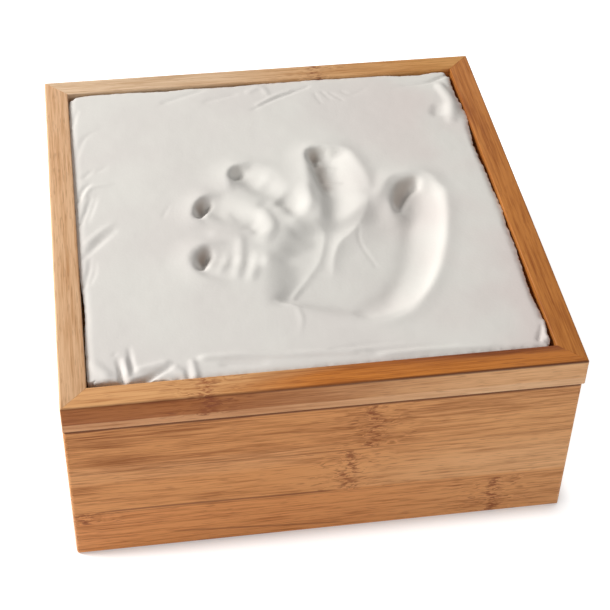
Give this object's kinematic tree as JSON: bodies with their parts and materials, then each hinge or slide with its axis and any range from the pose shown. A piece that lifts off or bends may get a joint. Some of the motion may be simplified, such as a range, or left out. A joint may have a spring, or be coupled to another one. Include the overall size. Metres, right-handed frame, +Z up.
{
  "type": "baby handprint keepsake box",
  "caption": "Square bamboo keepsake box with a lift-off lid that frames a white clay panel pressed with a baby's handprint.",
  "frame": {"origin": "centre of the lid's footprint, on the surface that the box stands on", "axes": "+Z up through the lid, +Y towards the back, +X to the right as seen from the front"},
  "size_m": [0.165, 0.173, 0.0696],
  "materials": {
    "bamboo": "satin lacquered bamboo, amber to pale tan, fine straight grain",
    "clay": "matt, air-dried white modelling clay"
  },
  "bodies": {
    "base": {"base_wall_front": "bamboo", "base_wall_right": "bamboo", "base_wall_back": "bamboo", "base_wall_left": "bamboo", "base_bottom": "bamboo"},
    "lid": {"lid_rail_front": "bamboo", "lid_rail_right": "bamboo", "lid_rail_back": "bamboo", "lid_rail_left": "bamboo", "lid_backing": "bamboo", "lid_lip_front": "bamboo", "lid_lip_right": "bamboo", "lid_lip_back": "bamboo", "lid_lip_left": "bamboo", "clay_panel": "clay"}
  },
  "joints": [
    {"name": "lid_lift", "type": "slide", "parent": "base", "child": "lid", "axis": [0, 0, 1], "range_m": [0, 0.06]}
  ]
}
